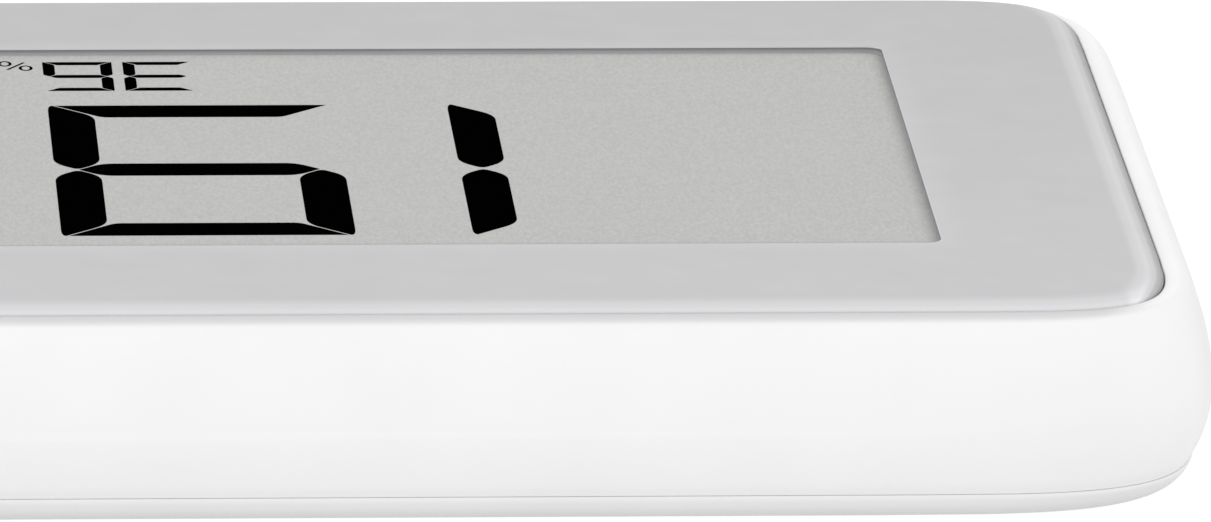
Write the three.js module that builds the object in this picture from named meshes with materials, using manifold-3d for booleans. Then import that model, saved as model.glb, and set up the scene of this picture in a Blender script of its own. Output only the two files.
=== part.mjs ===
// Desktop carbon dioxide monitor with a segment paper display, lying on its back.
// Millimetres. +X is to the right as the display is read, +Y towards its top edge, +Z out of it.
// The origin is under the middle of the body, on the plane the corner pads rest on.
import * as THREE from 'three';
import { mergeVertices, toCreasedNormals } from 'three/addons/utils/BufferGeometryUtils.js';
import Module from 'manifold-3d';

const wasm = await Module();
wasm.setup();

// ---------------------------------------------------------------- driving dimensions
// Body
const BODY_WIDTH = 111.4;
const BODY_DEPTH = 59.9;
const PAD_PROUD = 0.3;
const FACE_Z = 10.1;
const CORNER_REACH = 13.7;
const CORNER_POWER = 3.5;
const CORNER_STEPS = 8;
const PANEL_REACH = 11;
const PANEL_POWER = 3.1;
const LONG_RIM_EXTRA = 0.15;
const RIM_INSET = 2.36;
const WALL_INSET = 2.42;
const WALL_BOTTOM_Z = 1.48;
const COVER_FLOOR_TOP = 1.4;
const COVER_BOSS_TOP_Z = 2.7;
const LIP_TOP_Z = 2.6;
const FIT_GAP = 0.08;

// Bezel and window
const CROWN_WIDTH = 1.5;
const CROWN_DROP = 0.55;
const CROWN_STEPS = 6;
const BEZEL_BACK_Z = 8.8;
const SHELF_TOP_Z = 8.7;
const SHELF_BOTTOM_Z = 7.7;
const SHELF_INSET = 4.82;
const WINDOW_WIDTH = 87.0;
const WINDOW_HEIGHT = 35.1;
const WINDOW_RADIUS = 1.05;
const WINDOW_RECESS = 0.3;
const DISPLAY_WIDTH = 93.0;
const DISPLAY_HEIGHT = 40.2;
const DISPLAY_RADIUS = 0.8;
const DISPLAY_TOP_Z = FACE_Z - WINDOW_RECESS;
const FACE_SHEET = 0.3;
const SEGMENT_SHEET = 0.15;
const BACKPLANE = 0.5;

// Display segments
const BIG_DIGIT = {
  width: 13.37, height: 23.0, stroke: 2.14, gap: 0.075, shift: 0.28, ease: 0.42, bottom: -8.23,
};
const BIG_LEFTS = [-35.76, -17.07, 3.69, 22.38];
const BIG_READING = ['1', '9', '2', '4'];
const SMALL_DIGIT = {
  width: 3.27, height: 5.31, stroke: 0.56, gap: 0.05, shift: 0.08, ease: 0.11, bottom: -16.26,
};
const SMALL_LEFTS = [-10.72, -6.94, 20.2, 23.98, 27.76];
const SMALL_READING = ['3', '6', '6', '1', '2'];
const COLON_SIZE = 1.7;
const COLON_HEIGHTS = [-0.6, 7.2];
const PERCENT_RADIUS_X = 0.33;
const PERCENT_RADIUS_Y = 0.48;
const PERCENT_STROKE = 0.14;
const PERCENT_CENTRES = [[-2.87, -15.17], [-1.9, -15.98]];
const PERCENT_SLASH = [[-2.8, -16.2], [-2.0, -14.9]];

// Circuit board
const BOARD_BOTTOM_Z = 8.1;
const BOARD_THICKNESS = 0.6;
const BOARD_HALF_WIDTH = 42.0;
const BOARD_HALF_DEPTH = 23.2;
const BOARD_TAB_WIDTH = 13.4;
const FLEX_WIDTH = 14.0;

// Parts on the board: [x, y, width, depth, lowest z]
const SHIELD = [-33, 11, 14, 12, 6.5];
const SHIELD_WALL = 0.25;
const RADIO_CHIP = [-33, 11, 6, 6, 7.3];
const CRYSTAL = [-33, 0, 3.2, 1.5, 7.4];
const POWER_CHIP = [33, -14, 3, 3, 7.3];
const INDUCTOR = [38, -16, 3.6, 3.6, 6.6];
const BATTERY_SOCKET = [30, -20, 3.4, 6, 6.6];
const BATTERY_PLUG = [30, -20, 2.9, 4.6, 4.9];
const FLEX_CONNECTOR = [0, -16.6, 18, 3.6, 6.95];

// Gas sensor
const SENSOR_X = 36.0;
const SENSOR_Y = 8.0;
const SENSOR_SIZE = 10.1;
const SENSOR_BOTTOM_Z = 1.6;
const SENSOR_BASE_THICKNESS = 0.8;
const SENSOR_WALL = 0.3;
const GASKET_SIZE = 11.4;
const GASKET_HOLE = 7.8;
const GASKET_BOTTOM_Z = 0.95;

// Humidity sensor
const HUMIDITY_X = -38.0;
const HUMIDITY_Y = -14.0;
const HUMIDITY_SIZE = 2.4;
const HUMIDITY_BOTTOM_Z = 7.2;

// Air slots through the back, under each sensor
const SLOT_COUNT = 5;
const SLOT_PITCH = 1.6;
const SLOT_WIDTH = 0.9;
const SLOT_LENGTH = 7.4;

// Socket in the right edge
const SOCKET_Y = -8.0;
const SOCKET_WIDTH = 8.94;
const SOCKET_HEIGHT = 3.16;
const SOCKET_DEPTH = 7.3;
const SOCKET_Z = BOARD_BOTTOM_Z - SOCKET_HEIGHT / 2;
const SOCKET_WALL = 0.28;
const SOCKET_FLOOR = 1.2;
const TONGUE_LENGTH = 5.2;
const TONGUE_WIDTH = 6.6;
const TONGUE_THICKNESS = 0.7;

// Button in the top edge
const BUTTON_X = 34.0;
const BUTTON_Z = 5.6;
const BUTTON_WIDTH = 11.0;
const BUTTON_HEIGHT = 2.8;
const BUTTON_PROUD = 0.3;
const BUTTON_EDGE = 0.3;
const BUTTON_HOLE_GAP = 0.12;
const BUTTON_FLANGE = 0.6;
const BUTTON_POST = 0.8;
const SWITCH_WIDTH = 5.2;
const SWITCH_DEPTH = 2.6;
const PLUNGER_WIDTH = 2.2;
const PLUNGER_LENGTH = 0.8;
const PLUNGER_HEIGHT = 1.0;

// Stand in the back
const STAND_WIDTH = 40.0;
const STAND_HINGE_Y = 10.0;
const STAND_HINGE_Z = 1.5;
const STAND_TIP_Y = -25.4;
const STAND_BOTTOM_Z = 0.45;
const STAND_THICKNESS = 1.5;
const STAND_BARREL_RADIUS = 1.1;
const STAND_PIN_RADIUS = 0.5;
const STAND_POCKET_ROOF_Z = 2.75;
const STAND_BLOCK_TOP_Z = 3.5;
const STAND_CLEARANCE = 0.3;
const STAND_BLOCK_WALL = 2.6;
const STAND_PIN_HALF = 22.2;
const TIP_PAD_LENGTH = 29.9;
const TIP_PAD_DEPTH = 1.45;
const SCOOP_RADIUS = 5.0;
const SCOOP_TOP_Z = 2.1;

// Battery
const BATTERY_LENGTH = 46.0;
const BATTERY_WIDTH = 28.0;
const BATTERY_BOTTOM_Z = 3.7;
const BATTERY_THICKNESS = 3.2;
const BATTERY_X = -2.0;
const BATTERY_Y = -3.0;
const BATTERY_EDGE = 0.8;
const LEAD_RADIUS = 0.45;

// Screws and pads
const SCREW_X = 48.2;
const SCREW_Y = 22.6;
const SCREW_HEAD_RADIUS = 1.6;
const SCREW_SHANK_RADIUS = 0.75;
const SCREW_TOP_Z = 6.8;
const BOSS_RADIUS = 2.5;
const BOSS_BOTTOM_Z = 2.8;
const BOSS_TOP_Z = 8.2;
const RIB_WIDTH = 1.4;
const PAD_RADIUS = 3.6;
const PAD_THICKNESS = 0.9;

// ---------------------------------------------------------------- materials
const materials = {
  whiteShell: [0xf4f4f3, 0.42, 0],
  greyPanel: [0xc8c8ca, 0.5, 0],
  paperGrey: [0xc1c1bf, 0.7, 0],
  ink: [0x0a0a0b, 0.55, 0],
  backplane: [0xd9cf9a, 0.4, 0],
  flexAmber: [0xa8641d, 0.45, 0],
  blackPlastic: [0x18191b, 0.5, 0],
  boardGreen: [0x14532d, 0.45, 0],
  steel: [0xb9bcc0, 0.32, 1],
  chipBlack: [0x1b1c1f, 0.6, 0],
  foam: [0x2b2c2e, 0.95, 0],
  membrane: [0xf2f2ee, 0.8, 0],
  pouch: [0xaeb2b6, 0.38, 1],
  redLead: [0xb3261e, 0.5, 0],
  blackLead: [0x1c1c1e, 0.5, 0],
  tape: [0xe8e2c9, 0.8, 0],
  rubber: [0x8e9092, 0.85, 0],
};

// ---------------------------------------------------------------- solid helpers
function solidOf(geometry) {
  const bare = geometry.clone();
  bare.deleteAttribute('normal');
  bare.deleteAttribute('uv');
  const welded = mergeVertices(bare, 1e-4);
  const vertProperties = new Float32Array(welded.attributes.position.array);
  const triVerts = new Uint32Array(welded.index.array);
  return new wasm.Manifold(new wasm.Mesh({ numProp: 3, vertProperties, triVerts }));
}

function geometryOf(solid) {
  const mesh = solid.getMesh();
  const geometry = new THREE.BufferGeometry();
  geometry.setAttribute('position', new THREE.BufferAttribute(mesh.vertProperties, 3));
  geometry.setIndex(new THREE.BufferAttribute(mesh.triVerts, 1));
  return geometry;
}

function cut(geometry, ...tools) {
  let solid = solidOf(geometry);
  for (const tool of tools) {
    solid = solid.subtract(solidOf(tool));
  }
  return geometryOf(solid);
}

function fuse(geometry, ...others) {
  let solid = solidOf(geometry);
  for (const other of others) {
    solid = solid.add(solidOf(other));
  }
  return geometryOf(solid);
}

// A box given by its middle in plan and by its bottom and top.
function block(width, depth, x, y, bottom, top) {
  const box = new THREE.BoxGeometry(width, depth, top - bottom);
  return box.translate(x, y, (top + bottom) / 2);
}

// An upright round bar.
function rod(radius, x, y, bottom, top, sides = 20) {
  const bar = new THREE.CylinderGeometry(radius, radius, top - bottom, sides);
  return bar.rotateX(Math.PI / 2).translate(x, y, (top + bottom) / 2);
}

// A round bar along X.
function crossRod(radius, left, right, y, z, sides = 16) {
  const bar = new THREE.CylinderGeometry(radius, radius, right - left, sides);
  return bar.rotateZ(Math.PI / 2).translate((left + right) / 2, y, z);
}

function roundedShape(width, height, radius, x = 0, y = 0) {
  const left = x - width / 2;
  const right = x + width / 2;
  const low = y - height / 2;
  const high = y + height / 2;
  const shape = new THREE.Shape();
  shape.moveTo(left + radius, low);
  shape.lineTo(right - radius, low);
  shape.absarc(right - radius, low + radius, radius, -Math.PI / 2, 0, false);
  shape.lineTo(right, high - radius);
  shape.absarc(right - radius, high - radius, radius, 0, Math.PI / 2, false);
  shape.lineTo(left + radius, high);
  shape.absarc(left + radius, high - radius, radius, Math.PI / 2, Math.PI, false);
  shape.lineTo(left, low + radius);
  shape.absarc(left + radius, low + radius, radius, Math.PI, Math.PI * 1.5, false);
  return shape;
}

function plate(shape, bottom, top, curveSegments = 3) {
  const options = { depth: top - bottom, bevelEnabled: false, curveSegments };
  return new THREE.ExtrudeGeometry(shape, options).translate(0, 0, bottom);
}

function polygon(points) {
  return new THREE.Shape(points.map(([x, y]) => new THREE.Vector2(x, y)));
}

// Plan outline of the body, moved inwards by an inset. The corners ease into the straight sides. A blend of 1
// gives the corners of the panel, which are tighter, and leaves a wider rim along its two long sides.
function bodyOutline(inset, blend = 0) {
  const points = [];
  const n = CORNER_POWER + (PANEL_POWER - CORNER_POWER) * blend;
  const reach = CORNER_REACH + (PANEL_REACH - CORNER_REACH) * blend;
  const halfDepth = BODY_DEPTH / 2 - LONG_RIM_EXTRA * blend;
  for (let quadrant = 0; quadrant < 4; quadrant += 1) {
    const sideX = quadrant === 0 || quadrant === 3 ? 1 : -1;
    const sideY = quadrant < 2 ? 1 : -1;
    for (let step = 0; step <= CORNER_STEPS; step += 1) {
      const angle = (quadrant + step / CORNER_STEPS) * Math.PI / 2;
      const normalX = Math.abs(Math.cos(angle));
      const normalY = Math.abs(Math.sin(angle));
      const scale = (normalX ** (n / (n - 1)) + normalY ** (n / (n - 1))) ** (-1 / n);
      const reachX = reach * (scale * normalX ** (1 / (n - 1)) - 1);
      const reachY = reach * (scale * normalY ** (1 / (n - 1)) - 1);
      points.push([
        sideX * (BODY_WIDTH / 2 + reachX - inset * normalX),
        sideY * (halfDepth + reachY - inset * normalY),
      ]);
    }
  }
  return points;
}

// A skin through body outlines given as [inset, z, blend], the blend being 0 where it is left out. A closed one
// is a frame, an open one is capped.
function loft(profile, closed) {
  const rings = profile.map(([inset, z, blend]) => (
    bodyOutline(inset, blend).map(([x, y]) => [x, y, z])
  ));
  const count = rings[0].length;
  const positions = rings.flat(2);
  const index = [];
  const spans = closed ? rings.length : rings.length - 1;
  for (let ring = 0; ring < spans; ring += 1) {
    const next = (ring + 1) % rings.length;
    for (let i = 0; i < count; i += 1) {
      const j = (i + 1) % count;
      index.push(ring * count + i, ring * count + j, next * count + j);
      index.push(ring * count + i, next * count + j, next * count + i);
    }
  }
  if (!closed) {
    const first = positions.length / 3;
    positions.push(0, 0, profile[0][1], 0, 0, profile[profile.length - 1][1]);
    const last = (rings.length - 1) * count;
    for (let i = 0; i < count; i += 1) {
      const j = (i + 1) % count;
      index.push(first, j, i);
      index.push(first + 1, last + i, last + j);
    }
  }
  const geometry = new THREE.BufferGeometry();
  geometry.setAttribute('position', new THREE.Float32BufferAttribute(positions, 3));
  geometry.setIndex(index);
  return geometry;
}

const group = new THREE.Group();
group.name = 'carbon_dioxide_monitor';

function addPiece(name, geometry, materialName) {
  const [color, roughness, metalness] = materials[materialName];
  const material = new THREE.MeshStandardMaterial({ color, roughness, metalness });
  material.name = materialName;
  const mesh = new THREE.Mesh(toCreasedNormals(geometry, 0.5), material);
  mesh.name = name;
  group.add(mesh);
}

// ---------------------------------------------------------------- housing
const corners = [[1, 1], [-1, 1], [-1, -1], [1, -1]];

// Section of the white wall, [inset, z, blend], from its tucked-in lower edge up to its rounded rim at the seam.
const flank = [
  [0.9, WALL_BOTTOM_Z], [0.74, 1.7], [0.5, 2.2], [0.24, 3.0],
  [0.06, 3.8], [0, 4.7], [0.06, 5.5], [0.25, 6.6], [0.5, 7.6], [0.78, 8.4],
  [1.06, 9.0], [1.3, 9.3, 0.1], [1.6, 9.53, 0.3], [1.95, 9.6, 0.6], [2.24, 9.57, 0.9], [RIM_INSET, 9.4, 1],
];
const housingSection = [
  ...flank,
  [RIM_INSET, SHELF_TOP_Z, 1],
  [SHELF_INSET, SHELF_TOP_Z],
  [SHELF_INSET, SHELF_BOTTOM_Z],
  [WALL_INSET, SHELF_BOTTOM_Z],
  [WALL_INSET, WALL_BOTTOM_Z],
];

function bossParts(signX, signY) {
  const x = signX * SCREW_X;
  const y = signY * SCREW_Y;
  const ribX = BODY_WIDTH / 2 - WALL_INSET + 0.2 - SCREW_X;
  const ribY = BODY_DEPTH / 2 - WALL_INSET + 0.2 - SCREW_Y;
  return [
    rod(BOSS_RADIUS, x, y, BOSS_BOTTOM_Z, BOSS_TOP_Z, 16),
    block(ribX, RIB_WIDTH, x + signX * ribX / 2, y, BOSS_BOTTOM_Z, BOSS_TOP_Z),
    block(RIB_WIDTH, ribY, x, y + signY * ribY / 2, BOSS_BOTTOM_Z, BOSS_TOP_Z),
  ];
}

const buttonHole = plate(
  roundedShape(BUTTON_WIDTH + 2 * BUTTON_HOLE_GAP, BUTTON_HEIGHT + 2 * BUTTON_HOLE_GAP, 1.4),
  0, 8,
).rotateX(Math.PI / 2).translate(BUTTON_X, BODY_DEPTH / 2 + 2, BUTTON_Z);
const socketHole = plate(
  roundedShape(SOCKET_WIDTH + 0.3, SOCKET_HEIGHT + 0.3, 1.6), 0, 8,
).rotateX(Math.PI / 2).rotateZ(Math.PI / 2).translate(BODY_WIDTH / 2 - 6, SOCKET_Y, SOCKET_Z);

const bosses = corners.flatMap(([signX, signY]) => bossParts(signX, signY));
const pilotHoles = corners.map(([signX, signY]) => (
  rod(SCREW_SHANK_RADIUS + 0.05, signX * SCREW_X, signY * SCREW_Y, 2, 7.2, 12)
));
const shelfNotch = block(
  3, BOARD_TAB_WIDTH + 0.6, BODY_WIDTH / 2 - 4, SOCKET_Y, SHELF_BOTTOM_Z - 0.1, SHELF_TOP_Z + 0.1,
);
const housing = cut(
  fuse(loft(housingSection, true), ...bosses),
  ...pilotHoles, buttonHole, socketHole, shelfNotch,
);
addPiece('front_housing', housing, 'whiteShell');

// ---------------------------------------------------------------- bezel
const bezelEdge = RIM_INSET + FIT_GAP;
const bezelSection = [[bezelEdge, BEZEL_BACK_Z, 1]];
for (let step = 0; step <= CROWN_STEPS; step += 1) {
  const turn = Math.PI / 2 * step / CROWN_STEPS;
  bezelSection.push([
    bezelEdge + CROWN_WIDTH * (1 - Math.cos(turn)),
    FACE_Z - CROWN_DROP * (1 - Math.sin(turn)),
    1,
  ]);
}
const windowHole = plate(roundedShape(WINDOW_WIDTH, WINDOW_HEIGHT, WINDOW_RADIUS), 8, 11, 6);
const displayPocket = plate(
  roundedShape(DISPLAY_WIDTH + 0.3, DISPLAY_HEIGHT + 0.3, DISPLAY_RADIUS), 8, DISPLAY_TOP_Z,
);
addPiece('front_bezel', cut(loft(bezelSection, false), windowHole, displayPocket), 'greyPanel');
const adhesiveSection = [
  [WALL_INSET + 0.2, SHELF_TOP_Z], [WALL_INSET + 0.2, BEZEL_BACK_Z],
  [SHELF_INSET - 0.2, BEZEL_BACK_Z], [SHELF_INSET - 0.2, SHELF_TOP_Z],
];
addPiece('bezel_adhesive', loft(adhesiveSection, true), 'tape');

// ---------------------------------------------------------------- display
// Cuts back the corners of a polygon given as [x, y, reach before, reach after].
function eased(corners) {
  return corners.flatMap(([x, y, before, after], i) => {
    if (!before) {
      return [[x, y]];
    }
    const here = new THREE.Vector2(x, y);
    const last = corners[(i + corners.length - 1) % corners.length];
    const next = corners[(i + 1) % corners.length];
    const start = new THREE.Vector2(last[0], last[1]).sub(here).setLength(before).add(here);
    const end = new THREE.Vector2(next[0], next[1]).sub(here).setLength(after).add(here);
    const knee = start.clone().add(end).multiplyScalar(0.25).addScaledVector(here, 0.5);
    return [start, knee, end].map((point) => [point.x, point.y]);
  });
}

// The seven bars of a digit, each with mitred and eased ends, in a cell with its origin low left.
function digitBars({ width: w, height: h, stroke: t, gap: g, shift: o, ease }) {
  const m = h / 2;
  const r = t / 2;
  const left = [
    [0, h, (o - g) * 0.9, ease], [0, m + r + g, ease, ease], [r, m + g, 0, 0],
    [t, m + r + g, ease, ease], [t, h - t + o - g, ease, ease], [o - g, h, 0, 0],
  ];
  const long = ease * 1.8;
  const top = [
    [o + g, h, 0, 0], [t + o + g, h - t, long, long],
    [w - t - o - g, h - t, long, long], [w - o - g, h, 0, 0],
  ];
  const middle = [
    [r + g, m, 0, 0], [t + g, m - r, long, long], [w - t - g, m - r, long, long],
    [w - r - g, m, 0, 0], [w - t - g, m + r, long, long], [t + g, m + r, long, long],
  ];
  const swap = (place) => (corners) => corners
    .map(([x, y, before, after]) => [...place(x, y), after, before]).reverse();
  const mirror = swap((x, y) => [w - x, y]);
  const flip = swap((x, y) => [x, h - y]);
  const bars = {
    a: top, b: mirror(left), c: flip(mirror(left)), d: flip(top), e: flip(left), f: left, g: middle,
  };
  return Object.fromEntries(Object.entries(bars).map(([name, corners]) => [name, eased(corners)]));
}

const LIT_BARS = { 1: 'bc', 2: 'abged', 3: 'abgcd', 4: 'fgbc', 6: 'afgecd', 9: 'abcdfg' };

function digitRow(cell, lefts, reading) {
  const bars = digitBars(cell);
  return lefts.flatMap((left, i) => [...LIT_BARS[reading[i]]].map((bar) => (
    bars[bar].map(([x, y]) => [x + left, y + cell.bottom])
  )));
}

// Half of an oval ring, open by a hair at its ends.
function halfRing([x, y], start) {
  const points = [];
  const steps = 4;
  const side = (offset, reverse) => {
    for (let i = 0; i <= steps; i += 1) {
      const part = reverse ? steps - i : i;
      const angle = start + 0.12 + (Math.PI - 0.24) * part / steps;
      points.push([
        x + (PERCENT_RADIUS_X + offset) * Math.cos(angle),
        y + (PERCENT_RADIUS_Y + offset) * Math.sin(angle),
      ]);
    }
  };
  side(0, false);
  side(-PERCENT_STROKE, true);
  return points;
}

function slash([[x0, y0], [x1, y1]], width) {
  const length = Math.hypot(x1 - x0, y1 - y0);
  const sideX = -(y1 - y0) / length * width / 2;
  const sideY = (x1 - x0) / length * width / 2;
  return [
    [x0 + sideX, y0 + sideY], [x0 - sideX, y0 - sideY],
    [x1 - sideX, y1 - sideY], [x1 + sideX, y1 + sideY],
  ];
}

const colonDots = COLON_HEIGHTS.map((y) => [
  [-COLON_SIZE / 2, y - COLON_SIZE / 2], [COLON_SIZE / 2, y - COLON_SIZE / 2],
  [COLON_SIZE / 2, y + COLON_SIZE / 2], [-COLON_SIZE / 2, y + COLON_SIZE / 2],
]);
const percentRings = PERCENT_CENTRES.flatMap((centre) => [
  halfRing(centre, 0), halfRing(centre, Math.PI),
]);
const litShapes = [
  ...digitRow(BIG_DIGIT, BIG_LEFTS, BIG_READING),
  ...digitRow(SMALL_DIGIT, SMALL_LEFTS, SMALL_READING),
  ...colonDots,
  ...percentRings,
  slash(PERCENT_SLASH, PERCENT_STROKE),
];

const displayShape = roundedShape(DISPLAY_WIDTH, DISPLAY_HEIGHT, DISPLAY_RADIUS - 0.1);
const faceBottomZ = DISPLAY_TOP_Z - FACE_SHEET;
const segmentBottomZ = faceBottomZ - SEGMENT_SHEET;
const backplaneBottomZ = segmentBottomZ - BACKPLANE;
const litHoles = litShapes.map((points) => plate(polygon(points), faceBottomZ - 1, FACE_Z));
const litRaised = litShapes.map((points) => (
  plate(polygon(points), faceBottomZ - SEGMENT_SHEET / 2, DISPLAY_TOP_Z)
));
addPiece('display_face', cut(plate(displayShape, faceBottomZ, DISPLAY_TOP_Z), ...litHoles), 'paperGrey');
addPiece('display_segments', fuse(plate(displayShape, segmentBottomZ, faceBottomZ), ...litRaised), 'ink');
addPiece('display_backplane', plate(displayShape, backplaneBottomZ, segmentBottomZ), 'backplane');

// ---------------------------------------------------------------- circuit board
const boardTopZ = BOARD_BOTTOM_Z + BOARD_THICKNESS;
const flexNotch = block(FLEX_WIDTH + 2, 4, 0, -BOARD_HALF_DEPTH, 8, 9);
const socketTab = block(14, BOARD_TAB_WIDTH, 45.9, SOCKET_Y, BOARD_BOTTOM_Z, boardTopZ);
const switchTab = block(8, 6, BUTTON_X, 21.9, BOARD_BOTTOM_Z, boardTopZ);
const boardPlan = roundedShape(BOARD_HALF_WIDTH * 2, BOARD_HALF_DEPTH * 2, 1.5);
const board = cut(fuse(plate(boardPlan, BOARD_BOTTOM_Z, boardTopZ), socketTab, switchTab), flexNotch);
addPiece('main_board', board, 'boardGreen');
addPiece('board_tape', plate(roundedShape(80, 32, 1, 0, 3), boardTopZ, backplaneBottomZ), 'tape');

// A square part and a round-cornered part hanging from the board.
function boardBlock([x, y, width, depth, bottom]) {
  return block(width, depth, x, y, bottom, BOARD_BOTTOM_Z);
}
function boardCan([x, y, width, depth, bottom], radius) {
  return plate(roundedShape(width, depth, radius, x, y), bottom, BOARD_BOTTOM_Z);
}

// Flat ribbon from under the display round the edge of the board to its connector.
const ribbonOuter = [
  [-15.5, 8.78], [-21.6, 8.78], [-22.1, 8.6], [-22.3, 8.2], [-22.3, 7.9], [-22.1, 7.5], [-21.6, 7.3],
  [-18.2, 7.3],
];
const ribbonInner = [
  [-18.2, 7.4], [-21.56, 7.4], [-22.02, 7.57], [-22.2, 7.93], [-22.2, 8.17], [-22.02, 8.52],
  [-21.56, 8.72], [-15.5, 8.72],
];
const ribbon = plate(polygon([...ribbonOuter, ...ribbonInner]), -FLEX_WIDTH / 2, FLEX_WIDTH / 2)
  .rotateY(Math.PI / 2).rotateX(Math.PI / 2);
addPiece('display_flex', ribbon, 'flexAmber');
const connectorSlot = block(FLEX_WIDTH + 0.6, 2, 0, -18.1, 7.2, 7.5);
addPiece('flex_connector', cut(boardBlock(FLEX_CONNECTOR), connectorSlot), 'blackPlastic');

const [shieldX, shieldY, shieldWidth, shieldDepth, shieldBottom] = SHIELD;
const shieldRoom = plate(
  roundedShape(shieldWidth - 2 * SHIELD_WALL, shieldDepth - 2 * SHIELD_WALL, 0.6, shieldX, shieldY),
  shieldBottom + SHIELD_WALL, BOARD_BOTTOM_Z + 1,
);
addPiece('radio_shield', cut(boardCan(SHIELD, 0.8), shieldRoom), 'steel');
addPiece('radio_chip', boardBlock(RADIO_CHIP), 'chipBlack');
addPiece('clock_crystal', boardCan(CRYSTAL, 0.3), 'steel');
addPiece('power_chip', boardBlock(POWER_CHIP), 'chipBlack');
addPiece('power_inductor', boardCan(INDUCTOR, 0.5), 'foam');

// ---------------------------------------------------------------- sensors
const sensorCanTopZ = BOARD_BOTTOM_Z - SENSOR_BASE_THICKNESS;
const canSize = SENSOR_SIZE - 0.4;
const canInside = canSize - 2 * SENSOR_WALL;
const canBody = plate(
  roundedShape(canSize, canSize, 0.8, SENSOR_X, SENSOR_Y), SENSOR_BOTTOM_Z, sensorCanTopZ,
);
const canRoom = plate(
  roundedShape(canInside, canInside, 0.5, SENSOR_X, SENSOR_Y),
  SENSOR_BOTTOM_Z + SENSOR_WALL, sensorCanTopZ + 1,
);
const canPort = rod(1.5, SENSOR_X, SENSOR_Y, 1, 3, 16);
addPiece('co2_sensor_can', cut(canBody, canRoom, canPort), 'steel');
const membraneBottom = SENSOR_BOTTOM_Z + SENSOR_WALL;
const membrane = rod(2.2, SENSOR_X, SENSOR_Y, membraneBottom, membraneBottom + 0.2, 16);
addPiece('co2_sensor_membrane', membrane, 'membrane');
const sensorBase = block(SENSOR_SIZE, SENSOR_SIZE, SENSOR_X, SENSOR_Y, sensorCanTopZ, BOARD_BOTTOM_Z);
addPiece('co2_sensor_base', sensorBase, 'boardGreen');
const gasket = cut(
  plate(roundedShape(GASKET_SIZE, GASKET_SIZE, 1, SENSOR_X, SENSOR_Y), GASKET_BOTTOM_Z, SENSOR_BOTTOM_Z),
  block(GASKET_HOLE, GASKET_HOLE, SENSOR_X, SENSOR_Y, 0, 3),
);
addPiece('sensor_gasket', gasket, 'foam');
const humiditySensor = cut(
  block(HUMIDITY_SIZE, HUMIDITY_SIZE, HUMIDITY_X, HUMIDITY_Y, HUMIDITY_BOTTOM_Z, BOARD_BOTTOM_Z),
  rod(0.5, HUMIDITY_X, HUMIDITY_Y, HUMIDITY_BOTTOM_Z - 0.2, HUMIDITY_BOTTOM_Z + 0.3, 8),
);
addPiece('humidity_sensor', humiditySensor, 'membrane');

// ---------------------------------------------------------------- charging socket
function socketTube(width, height, radius, left, right) {
  return plate(roundedShape(width, height, radius), 0, right - left)
    .rotateX(Math.PI / 2).rotateZ(Math.PI / 2).translate(left, SOCKET_Y, SOCKET_Z);
}
const socketRight = BODY_WIDTH / 2 - 0.9;
const socketLeft = socketRight - SOCKET_DEPTH;
const socketShell = cut(
  socketTube(SOCKET_WIDTH, SOCKET_HEIGHT, 1.5, socketLeft, socketRight),
  socketTube(
    SOCKET_WIDTH - 2 * SOCKET_WALL, SOCKET_HEIGHT - 2 * SOCKET_WALL, 1.25,
    socketLeft + SOCKET_FLOOR, socketRight + 1,
  ),
);
addPiece('socket_shell', socketShell, 'steel');
const tongue = block(
  TONGUE_LENGTH, TONGUE_WIDTH, socketLeft + SOCKET_FLOOR + TONGUE_LENGTH / 2, SOCKET_Y,
  SOCKET_Z - TONGUE_THICKNESS / 2, SOCKET_Z + TONGUE_THICKNESS / 2,
);
addPiece('socket_tongue', tongue, 'blackPlastic');

// ---------------------------------------------------------------- button and switch
const buttonFaceY = BODY_DEPTH / 2 + BUTTON_PROUD;
const buttonBackY = BODY_DEPTH / 2 - WALL_INSET - 0.5;
function buttonBar(width, height, radius, near, far) {
  return plate(roundedShape(width, height, radius), 0, far - near)
    .rotateX(Math.PI / 2).translate(BUTTON_X, far, BUTTON_Z);
}
const capShape = roundedShape(BUTTON_WIDTH - 2 * BUTTON_EDGE, BUTTON_HEIGHT - 2 * BUTTON_EDGE, 1.1);
const buttonCap = new THREE.ExtrudeGeometry(capShape, {
  depth: buttonFaceY - buttonBackY - 2 * BUTTON_EDGE,
  bevelEnabled: true,
  bevelThickness: BUTTON_EDGE,
  bevelSize: BUTTON_EDGE,
  bevelSegments: 2,
  curveSegments: 4,
}).rotateX(Math.PI / 2).translate(BUTTON_X, buttonFaceY - BUTTON_EDGE, BUTTON_Z);
const flangeBackY = buttonBackY - BUTTON_FLANGE;
const buttonFlange = buttonBar(
  BUTTON_WIDTH + 1.6, BUTTON_HEIGHT + 2 * BUTTON_FLANGE, 1.6, flangeBackY, buttonBackY + 0.4,
);
const postTipY = flangeBackY - BUTTON_POST;
const buttonPost = block(
  2.4, BUTTON_POST + 0.1, BUTTON_X, postTipY + (BUTTON_POST + 0.1) / 2, BUTTON_Z - 0.8, BUTTON_Z + 0.8,
);
addPiece('mode_button', fuse(buttonCap, buttonFlange, buttonPost), 'whiteShell');
const switchFrontY = postTipY - 0.7;
const switchBody = block(
  SWITCH_WIDTH, SWITCH_DEPTH, BUTTON_X, switchFrontY - SWITCH_DEPTH / 2, BUTTON_Z - 1.1, BOARD_BOTTOM_Z,
);
const plungerRoom = block(
  PLUNGER_WIDTH + 0.2, 1.2, BUTTON_X, switchFrontY,
  BUTTON_Z - PLUNGER_HEIGHT / 2 - 0.1, BUTTON_Z + PLUNGER_HEIGHT / 2 + 0.1,
);
addPiece('switch_body', cut(switchBody, plungerRoom), 'chipBlack');
const plunger = block(
  PLUNGER_WIDTH, PLUNGER_LENGTH, BUTTON_X, postTipY - PLUNGER_LENGTH / 2 - 0.02,
  BUTTON_Z - PLUNGER_HEIGHT / 2, BUTTON_Z + PLUNGER_HEIGHT / 2,
);
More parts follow.
